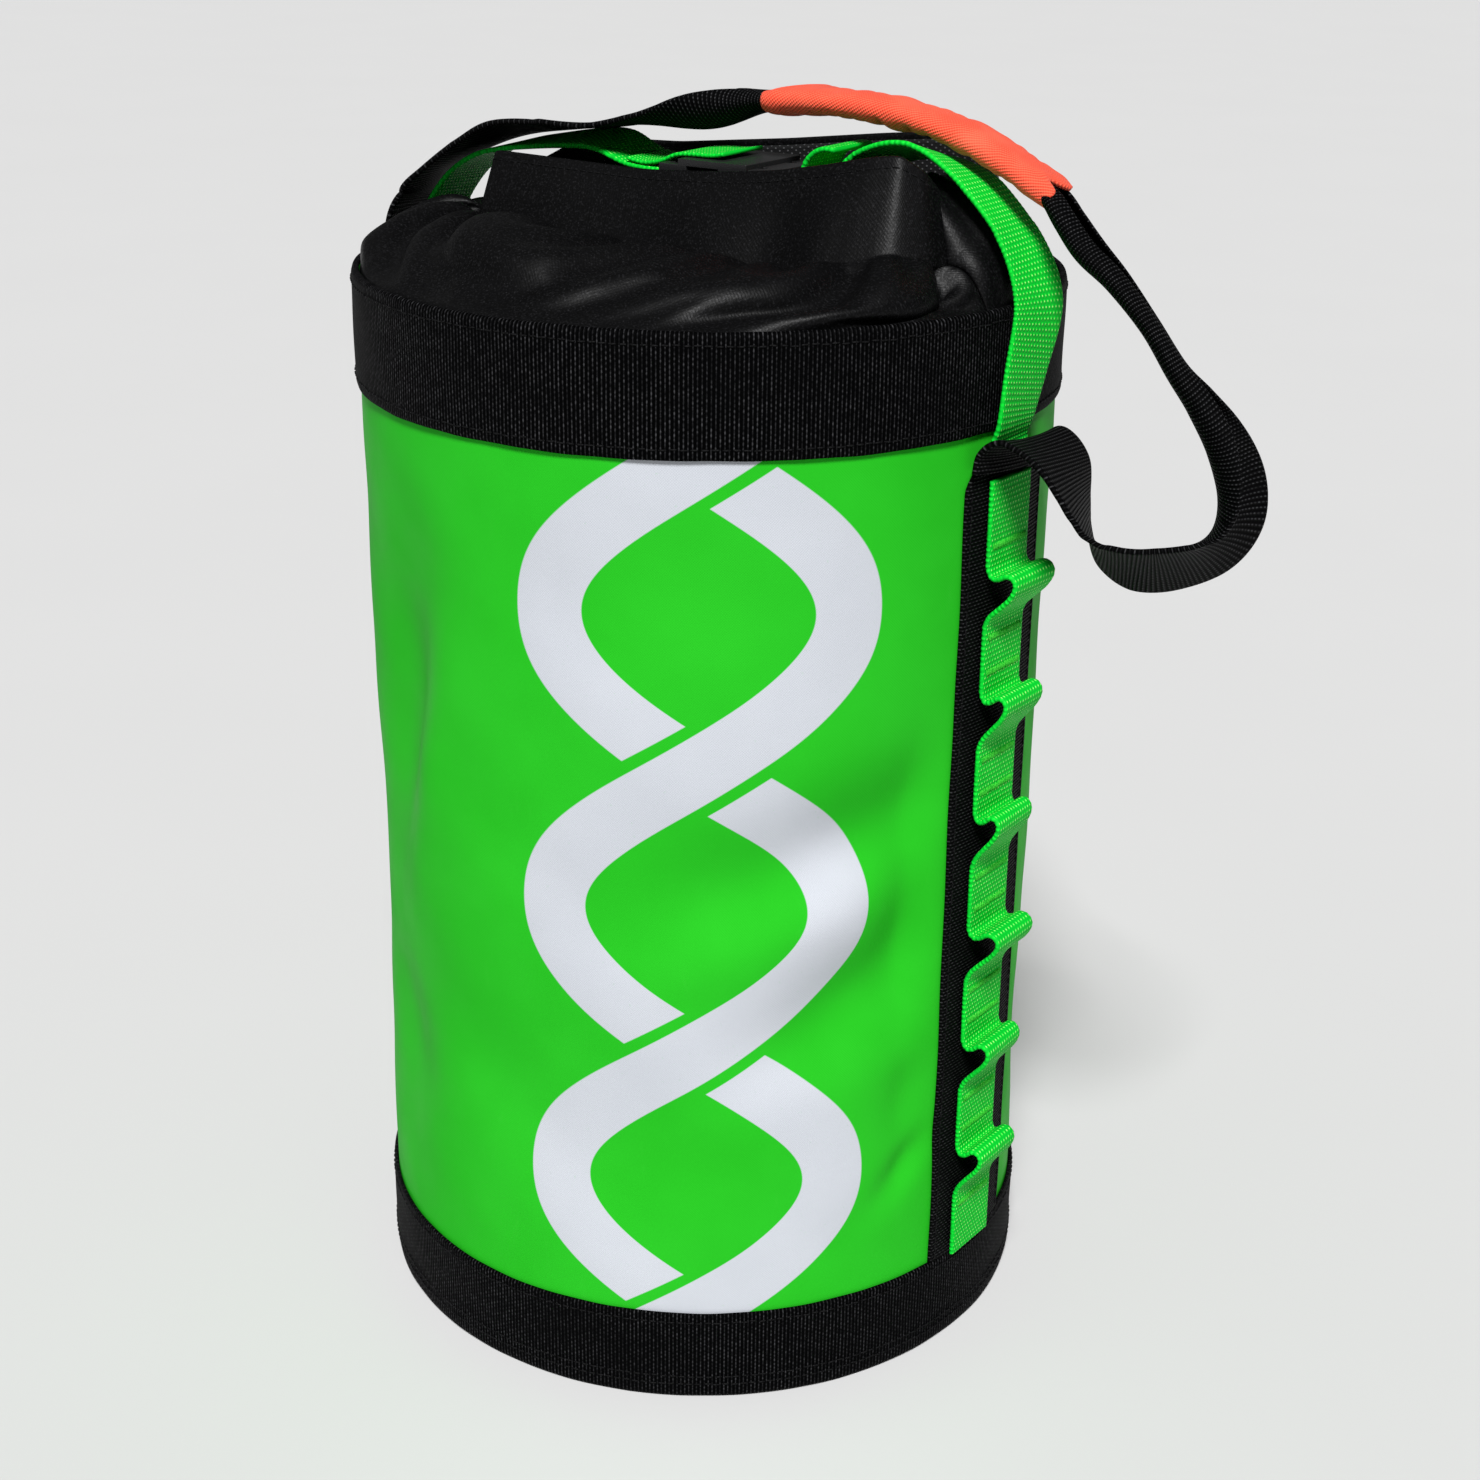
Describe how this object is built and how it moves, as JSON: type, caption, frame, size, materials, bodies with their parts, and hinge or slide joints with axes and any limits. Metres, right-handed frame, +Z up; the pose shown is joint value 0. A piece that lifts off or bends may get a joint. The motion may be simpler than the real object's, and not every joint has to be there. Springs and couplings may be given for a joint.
{
  "type": "rope storage bag",
  "caption": "Round stiff-walled rope and gear bag with a closing fabric collar, buckled closing strap, padded lifting strap and webbing loop chains.",
  "frame": {"origin": "middle of the base's underside", "axes": "+Z up; +X and -X through the two sides that carry the lifting strap and the loop chains, +X the side where the sleeve lies; the front of the bag faces -Y"},
  "size_m": [0.3347, 0.25, 0.452],
  "materials": {
    "green_coated_fabric": "smooth coated fabric, low sheen",
    "liner_plastic": "matte sheet",
    "black_band": "ribbed woven band",
    "black_nylon": "fine plain weave with a soft sheen",
    "hook_and_loop": "fuzzy tape",
    "black_webbing": "ribbed webbing",
    "green_webbing": "bright woven webbing",
    "green_thread": "dense stitching",
    "buckle_plastic": "moulded, satin",
    "orange_sleeve": "twill sleeve"
  },
  "bodies": {
    "bag": {"body_wall": "green_coated_fabric", "wall_liner": "liner_plastic", "base_plate": "liner_plastic", "base_cover": "black_band", "bottom_band": "black_band", "top_band": "black_band", "rim_hoop": "liner_plastic", "collar_end_right": "black_nylon", "collar_end_left": "black_nylon", "wall_webbing_right": "black_webbing", "wall_webbing_left": "black_webbing", "loop_chain_right": "green_webbing", "loop_chain_left": "green_webbing", "bar_tacks_right": "green_thread", "bar_tacks_left": "green_thread", "closing_strap_right": "green_webbing", "closing_strap_left": "green_webbing", "buckle_socket": "buckle_plastic"},
    "handle": {"lift_strap": "black_webbing", "grip_sleeve": "orange_sleeve"},
    "front_flap": {"collar_front": "black_nylon", "hook_tape": "hook_and_loop"},
    "back_flap": {"collar_back": "black_nylon", "loop_tape": "hook_and_loop"},
    "buckle_plug": {"buckle_plug": "buckle_plastic", "strap_tail": "green_webbing"},
    "prong_front": {"buckle_prong_front": "buckle_plastic"},
    "prong_back": {"buckle_prong_back": "buckle_plastic"}
  },
  "joints": [
    {"name": "handle_swing", "type": "hinge", "parent": "bag", "child": "handle", "pos_m": [0, 0, 0.347], "axis": [1, 0, 0], "range_deg": [0, 32], "deforming": ["lift_strap"]},
    {"name": "front_flap_open", "type": "hinge", "parent": "bag", "child": "front_flap", "pos_m": [0, -0.1225, 0.3915], "axis": [1, 0, 0], "range_deg": [0, 75]},
    {"name": "back_flap_open", "type": "hinge", "parent": "bag", "child": "back_flap", "pos_m": [0, 0.1225, 0.3915], "axis": [-1, 0, 0], "range_deg": [0, 75]},
    {"name": "buckle_release", "type": "slide", "parent": "bag", "child": "buckle_plug", "axis": [1, 0, 0], "range_m": [0, 0.03], "deforming": ["closing_strap_right", "buckle_prong_front", "buckle_prong_back"]},
    {"name": "prong_back_pinch", "type": "hinge", "parent": "buckle_plug", "child": "prong_back", "pos_m": [0.027, 0.009, 0.421], "axis": [0, 0, 1], "range_deg": [0, 8], "stiffness_Nm_per_rad": 0.1},
    {"name": "prong_front_pinch", "type": "hinge", "parent": "buckle_plug", "child": "prong_front", "pos_m": [0.027, -0.009, 0.421], "axis": [0, 0, -1], "range_deg": [0, 8], "stiffness_Nm_per_rad": 0.1}
  ],
  "couplings": [
    {"joint": "prong_front_pinch", "follows": "prong_back_pinch", "ratio": 1}
  ]
}
